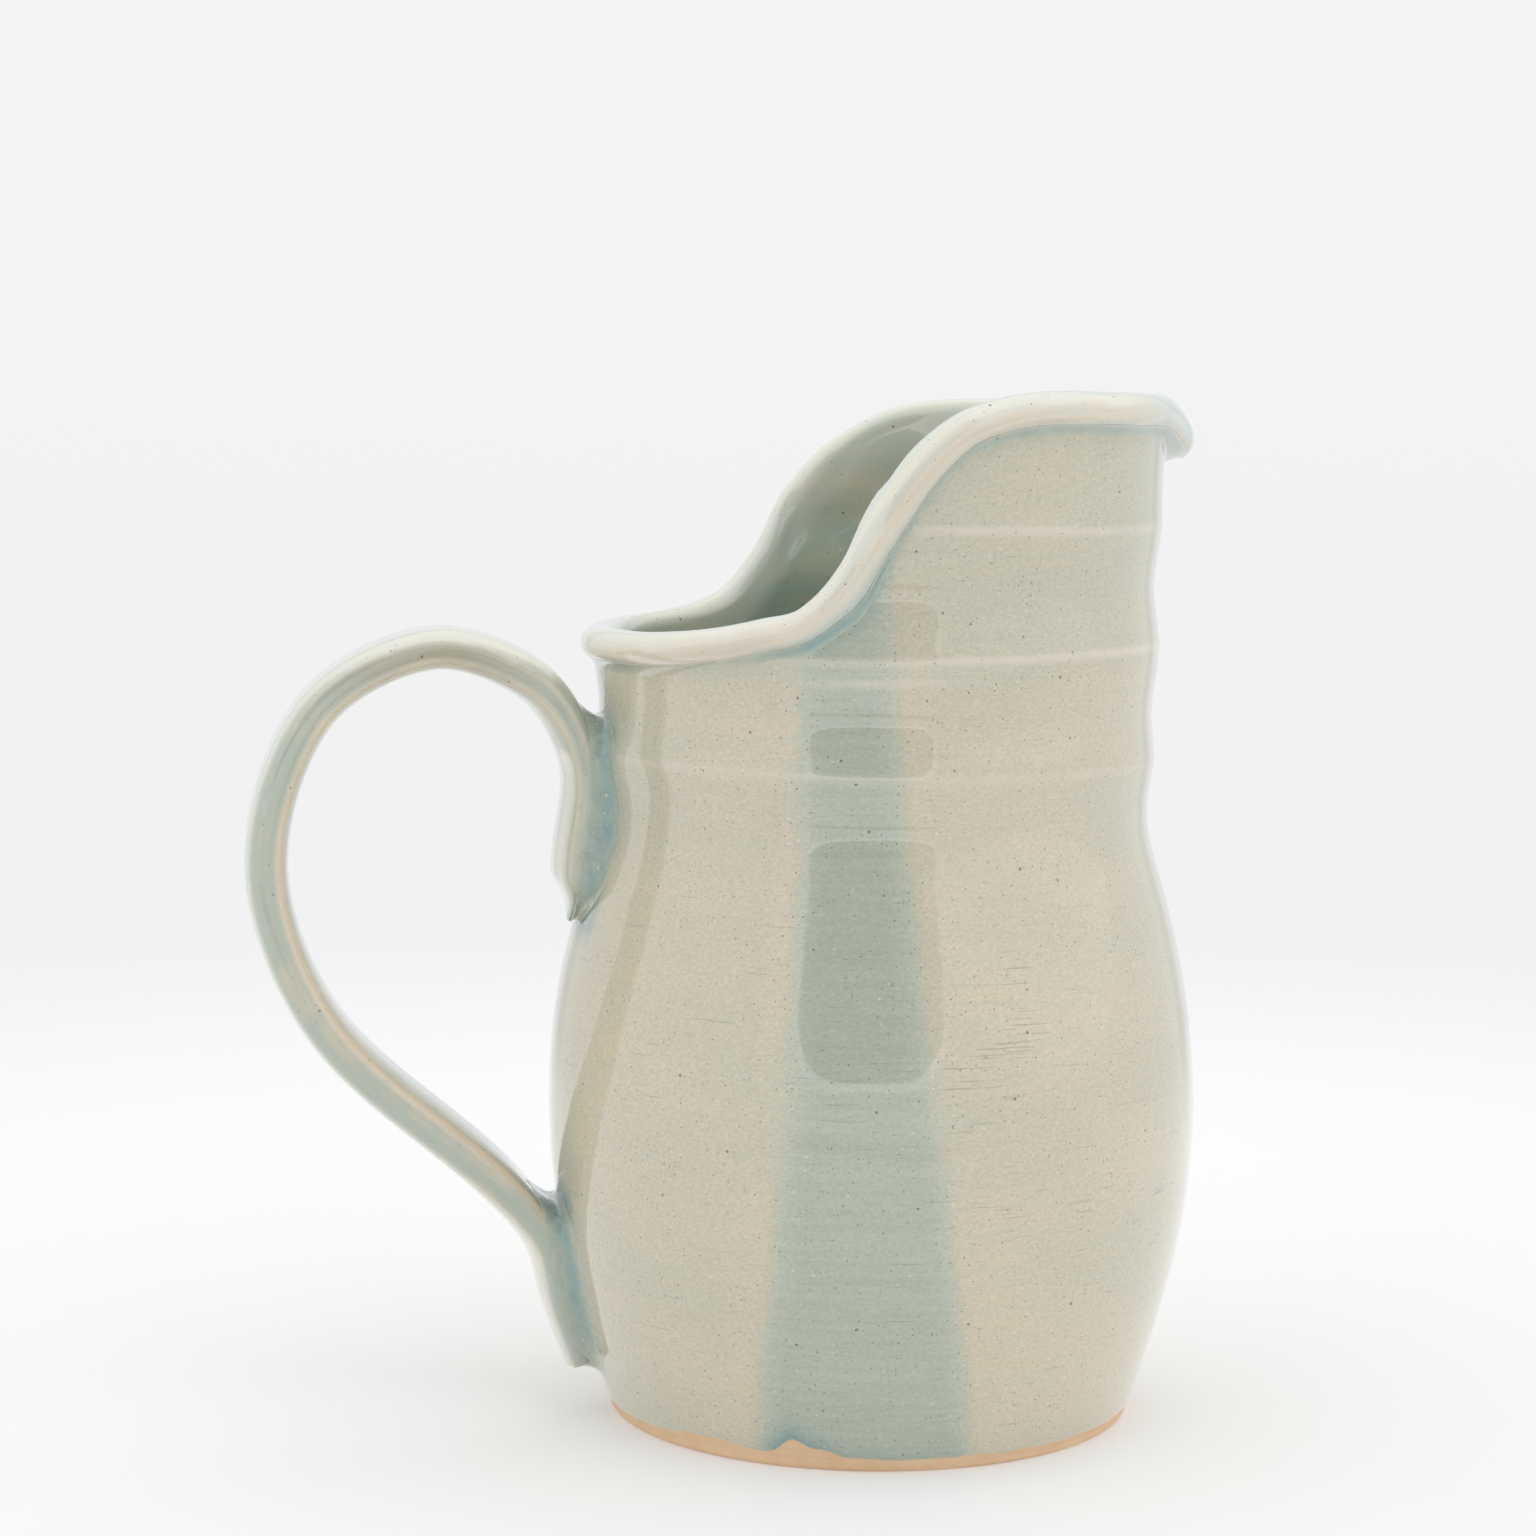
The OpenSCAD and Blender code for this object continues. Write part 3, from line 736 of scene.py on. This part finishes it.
def strap_angle(part):
    """Angle round the section that is an even share of the way round the strap."""
    quarter, within = divmod(part * 4, 1)
    wide, thick = strap_w / 2, strap_t / 2
    flat = within if quarter % 2 else 1 - within
    reach = flat * (wide + thick)
    turn = math.atan2(1, reach / wide) if reach < wide else math.atan2((wide + thick - reach) / thick, 1)
    return math.pi / 2 * quarter + (math.pi / 2 - turn if quarter % 2 else turn)


strap_turn = math.pi
bm, along, around = ring_of_clay(strap_sides, strap_rings, strap_turn)
edge = bm.verts.layers.float.new("edge")
outer = bm.verts.layers.float.new("outer")
crown = bm.verts.layers.float.new("crown")
streak = bm.verts.layers.float.new("streak")
pool = bm.verts.layers.float.new("pool")
for point in bm.verts:
    ring = round(point[along] * strap_rings / strap_turn) % (2 * strap_rings)
    t = strap_angle(point[around] / (2 * math.pi))
    s = (strap_last - 0.1) * min(max((ring - cap_rings) / (strap_rings - 2 * cap_rings), 0), 1)
    cap = max(0, cap_rings - ring, ring - strap_rings + cap_rings) / cap_rings
    pulled = noise.noise(Vector((2.6 * math.cos(t), 2.6 * math.sin(t), s * 0.35)))
    pulled += 0.5 * noise.noise(Vector((7 * math.cos(t), 7 * math.sin(t), s * 0.5)))
    square = squared(t, strap_squareness)
    flank, lift = abs(square * math.cos(t)), square * math.sin(t)
    crease = math.exp(-((lift - 0.2 - 0.1 * math.sin(2 * s)) / 0.13)**2) * eased((flank - 0.85) / 0.1)
    crease *= eased((s - 6.6) / 0.5) * eased((8.7 - s) / 0.3)
    free = eased((s - 2.3) / 0.5) * eased((9.2 - s) / 0.5)
    past = cap * (tail_round if ring > cap_rings else -tip_round)
    lines = (0.12 * pulled - 0.06) * free - 0.3 * crease
    point.co = strap_point(s, t, math.sqrt(1 - cap * cap), past, lines)
    point[streak] = pulled - 0.8 * crease
    crowned = math.exp(-((s - 3.9) / 0.9)**2)
    pressed = eased((2.7 - s) / 0.6)
    rubbed = eased((-0.05 - lift) / 0.7) * (1 - 0.65 * crowned - 0.4 * pressed)
    point[edge] = max(rubbed, 0.3 * pressed) * eased((flank - 0.80) / 0.14)
    # outer is the strap's pale outer face plus a painted highlight: extra pale on the loop's crown, lit from
    # above, and on the pressed inner face at the upper joint, lit from the side.
    point[outer] = lift * (1 - 2.1 * pressed) + 0.42 * crowned
    point[crown] = crowned
    x, y, z = point.co
    point[pool] = joint_pool * math.exp(-(max(0, math.hypot(x, y) - wall_r(z) - slip_t) / 2.6)**2)
bmesh.ops.remove_doubles(bm, verts=bm.verts, dist=0.0005)
handle = fired(bm, "strap_handle")
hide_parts("handle")

handle_green = (0.465, 0.515, 0.435, 1)
handle_olive = (0.440, 0.415, 0.312, 1)
handle_pale_and_highlight = (0.800, 0.790, 0.690, 1)
handle_peach = (0.780, 0.670, 0.515, 1)

wash = glazed(handle, "pulled_strap_glaze")
mottle = wash.cloud(3.5, 4)
broad = wash.cloud(16, 2)
streaks = (wash.field("streak") * 0.5 + 0.5) * 0.7 + mottle * 0.3
colour = (wash.field("crown") + (mottle - 0.5) * 0.5).eased(0.1, 1.1).over(handle_green, handle_olive)
thin = (streaks - 0.5) * 1.5 + (broad - 0.5) * 1.2 - wash.field("crown") * 0.2
colour = thin.eased(-0.1, 0.5).over(colour, green_cream)
# The pale outer face, with a painted highlight on the loop's crown and on the pressed inner face at the upper
# joint.
colour = (wash.field("outer") + (streaks - 0.5) * 0.5).eased(0.5, 1.05).over(colour, handle_pale_and_highlight)
colour = (wash.field("edge") * (mottle * 0.6 + 0.7)).eased(0.05, 1.0).over(colour, handle_peach)
colour = pooled(wash, colour, mottle)
dark_specks = wash.specks(1.1, 0.20, 0.6) * 0.5 + wash.specks(2.8, 0.38, 0.4) * 0.8
colour = dark_specks.over(colour, iron)
fire_finish(wash, colour, 0.06 + mottle * 0.05, streaks * 0.4 + wash.cloud(6, 2) * 0.4 - dark_specks * 0.1, 0.1)


# The handle slip lutes each end of the strap to the wall. It was smoothed with a finger into a hollow
# fillet round the strap and a web in the crotch above it, and the glaze pools teal in both.
def joint_fillet(name, node, face, tip, tip_out, end, crotch, up, side_fall, crotch_fall, end_fall, climb):
    """Fillet round one end of the strap, from its end to its crotch, on the face that lies on the wall.

    Places along the strap are counts of knots. The falls are how far the fillet runs out over the wall at the
    strap's sides, crotch and end. It climbs the strap's sides by an angle, and its crotch by a count of knots.
    """
    sides, back, steps = 20, 4, 240
    bm, along, around = ring_of_clay(sides, steps)
    band = bm.verts.layers.float.new("band")
    pool = bm.verts.layers.float.new("pool")
    onto = bm.verts.layers.float.new("onto")

    def at_wall(y, z, lift):
        """Place on the thrown wall, lifted off it."""
        a = math.pi - math.asin(y / wall_r(z))
        r = skin_r(z, a) + lift
        return Vector((r * math.cos(a), r * math.sin(a), z))

    for point in bm.verts:
        k = round(point[around] * sides / (2 * math.pi)) % sides
        b = point[along]
        square = squared(b, 5)
        p, q = square * math.cos(b), square * math.sin(b)
        lean = Vector((math.copysign(abs(p)**4, p), math.copysign(abs(q)**4, q))).normalized()
        s = end + (crotch - end) * (q + 1) / 2
        x, z, wide, _ = strap_middle(s)
        y = p * wide / 2 * tongue(s)
        fall = side_fall * lean.x**2 + (crotch_fall if q > 0 else end_fall) * lean.y**2
        tip_x, tip_z, _, tip_t = strap_middle(tip)
        past = lean.y**2 if q < 0 else 0
        z -= 0.6 * past
        foot_y, foot_z = y + fall * lean.x, max(z + fall * lean.y, 3.6)
        corner = at_wall(y, z, 0.2)
        foot = at_wall(foot_y, foot_z, -0.08)
        off = math.atan2(lean.x, max(lean.y, 0))
        off += math.copysign(math.radians(climb), off) * lean.x**2
        t = math.radians(face) - off * (1 if face < 180 else -1)
        top = strap_point(s + up * max(0, lean.y), t, 1.003 - 0.013 * max(0, lean.y))
        out = tip_x - tip_out * tip_t
        top = top.lerp(Vector((-math.sqrt(out**2 - y * y), y, tip_z - 0.6)), past)
        visible = sides - back
        if k <= visible:
            spot = Vector(bent(foot, corner, top, k / visible))
            u = 2 * k / visible - 1
            gather = math.exp(-(u * (fall / 3.4 if u < 0 else 1.2))**2)
            point[pool] = joint_pool * gather * (0.25 + 0.75 * eased((q + 1) / 0.6))
            point[onto] = eased(k / visible)
        else:
            hidden = (top.lerp(Vector((x, y * 0.8, z)), 0.2), at_wall(y * 0.95, z, -0.5),
                      at_wall(foot_y, foot_z, -0.6))
            spot = hidden[k - visible - 1]
        point[band] = poured(spot.z, math.atan2(spot.y, spot.x))
        point.co = spot
    piece = fired(bm, name)
    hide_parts(node)
    wash = glazed(piece, name + "_glaze")
    colour, mottle, _ = poured_glaze(wash)
    colour = wash.field("onto").over(colour, handle_green)
    colour = pooled(wash, colour, mottle)
    colour = (wash.specks(3.0, 0.3, 0.4) * 0.6).over(colour, iron)
    crawled = wash.field("onto").eased(0.35, 0.6) * wash.field("onto").eased(0.99, 0.85)
    colour = (wash.specks(1.3, 0.36, 0.55) * crawled * 0.8).over(colour, grog)
    drips = wash.cloud(2.2, 3)
    fire_finish(wash, colour, 0.05 + mottle * 0.05, drips.eased(0.35, 0.75), 0.22)


joint_fillet("upper_slip_fillet", "upper_handle_slip", face=90, tip=0, tip_out=-0.2, end=0.1, crotch=2.45,
             up=0.18, side_fall=4.4, crotch_fall=2.2, end_fall=2.2, climb=6)
joint_fillet("lower_slip_fillet", "lower_handle_slip", face=270, tip=strap_last, tip_out=0.32, end=10.95,
             crotch=8.65, up=-0.3, side_fall=5.0, crotch_fall=4.0, end_fall=3.6, climb=10)


# The studio is a white tent: a pale floor, even light from all round, one soft lamp above the lip side,
# and a darker opening in the tent at the side of the camera, which shows in the gloss of the glaze. The
# camera stands where the photo was taken: its focal length is in pixels of the photo, its place in metres.
bm = bmesh.new()
bmesh.ops.create_circle(bm, cap_ends=True, segments=96, radius=6)
floor_mesh = bpy.data.meshes.new("studio_floor")
bm.to_mesh(floor_mesh)
bm.free()
floor = bpy.data.objects.new("studio_floor", floor_mesh)
bpy.context.scene.collection.objects.link(floor)
wash = glazed(floor, "studio_floor")
shader = wash.tree.nodes["Principled BSDF"]
shader.inputs["Base Color"].default_value = (0.72, 0.72, 0.72, 1)
shader.inputs["Roughness"].default_value = 0.9
shader.inputs["Specular IOR Level"].default_value = 0
# The floor glows faintly: a fill light from below, which also lightens the shadows on the floor.
shader.inputs["Emission Color"].default_value = (0.235, 0.235, 0.235, 1)
shader.inputs["Emission Strength"].default_value = 1.0
spot = wash.node("ShaderNodeTexCoord", out=3)
reach = wash.node("ShaderNodeVectorMath", {"operation": "LENGTH"}, {0: spot}, out=1)
wash.tree.links.new(reach.eased(0.75, 0.24).socket, shader.inputs["Alpha"])

scene = bpy.context.scene
scene.view_settings.view_transform = "Standard"
tent = bpy.data.worlds.new("white_tent")
scene.world = tent
tent.use_nodes = True
wash = Wash(tent.node_tree)
ray = wash.node("ShaderNodeTexCoord", out=0)
axes = wash.tree.nodes.new("ShaderNodeSeparateXYZ")
wash.tree.links.new(ray.socket, axes.inputs[0])
ray_x, ray_y, ray_z = (Wash(wash.tree, socket) for socket in axes.outputs)
ahead = ray_x * math.cos(math.radians(front)) + ray_y * math.sin(math.radians(front))
aside = ray_y * math.cos(math.radians(front)) - ray_x * math.sin(math.radians(front))
swing = wash.sum("ABSOLUTE", wash.sum("ARCTAN2", aside, ahead), 0)
opening_half_w, opening_z, opening_half_h = 0.45, 0.40, 0.375
across, upright = swing * (1 / opening_half_w), (ray_z - opening_z) * (1 / opening_half_h)
across, upright = across * across, upright * upright
outline = across * across + upright * upright
opening = outline.eased(1.03, 0.97)
sill = outline.eased(1.00, 1.06) * outline.eased(1.5, 1.3) * ray_z.eased(0.25, 0.05)
strip = across.eased(1.1, 0.9) * ray_z.eased(-0.215, -0.20) * ray_z.eased(-0.14, -0.155)
shine = ray_x.eased(-0.8, 0.8).over((1.03, 1.03, 1.03, 1), (0.93, 0.93, 0.93, 1))
shine = ahead.eased(0.1, -0.5).over(shine, (0.82, 0.84, 0.85, 1))
seam = ahead.eased(-0.79, -0.83) * ahead.eased(-0.91, -0.87)
shine = (seam * 0.6).over(shine, (0.60, 0.63, 0.64, 1))
shine = ray_z.eased(0.5, 0.9).over(shine, (1.15, 1.15, 1.15, 1))
shine = sill.over(shine, (1.4, 1.4, 1.4, 1))
shine = strip.over(shine, (0.4, 0.4, 0.4, 1))
shine = opening.over(shine, aside.eased(0.0, 0.4).over((0.22, 0.22, 0.22, 1), (0.42, 0.42, 0.42, 1)))
backdrop = ray_z.eased(-0.10, 0.10).over((0.885, 0.885, 0.885, 1), (0.906, 0.906, 0.906, 1))
seen = wash.node("ShaderNodeLightPath")
shine = seen.over(shine, backdrop)
background = wash.tree.nodes["Background"]
wash.tree.links.new(shine.socket, background.inputs["Color"])
background.inputs["Strength"].default_value = 1.0

lamp = bpy.data.lights.new("tent_top", "SUN")
lamp.angle = math.radians(90)
lamp.energy = 0.3
lamp_piece = bpy.data.objects.new("tent_top", lamp)
lamp_piece.matrix_world = Vector((0.9, -0.5, 1.0)).to_track_quat("Z", "Y").to_matrix().to_4x4()
scene.collection.objects.link(lamp_piece)

photo_px, focal_px = 1536, 3480
camera_spot, camera_turn, camera_dip, camera_roll = (-0.12463, -0.67620, 0.18909), -8.7, 5.128, 0.4
camera = bpy.data.cameras.new("photo_camera")
camera.sensor_width = 36
camera.lens = camera.sensor_width * focal_px / photo_px
camera_piece = bpy.data.objects.new("photo_camera", camera)
camera_piece.matrix_world = (Matrix.Translation(camera_spot)
                             @ Matrix.Rotation(math.radians(camera_turn), 4, "Z")
                             @ Matrix.Rotation(math.radians(90 - camera_dip), 4, "X")
                             @ Matrix.Rotation(math.radians(camera_roll), 4, "Z"))
scene.collection.objects.link(camera_piece)
scene.camera = camera_piece
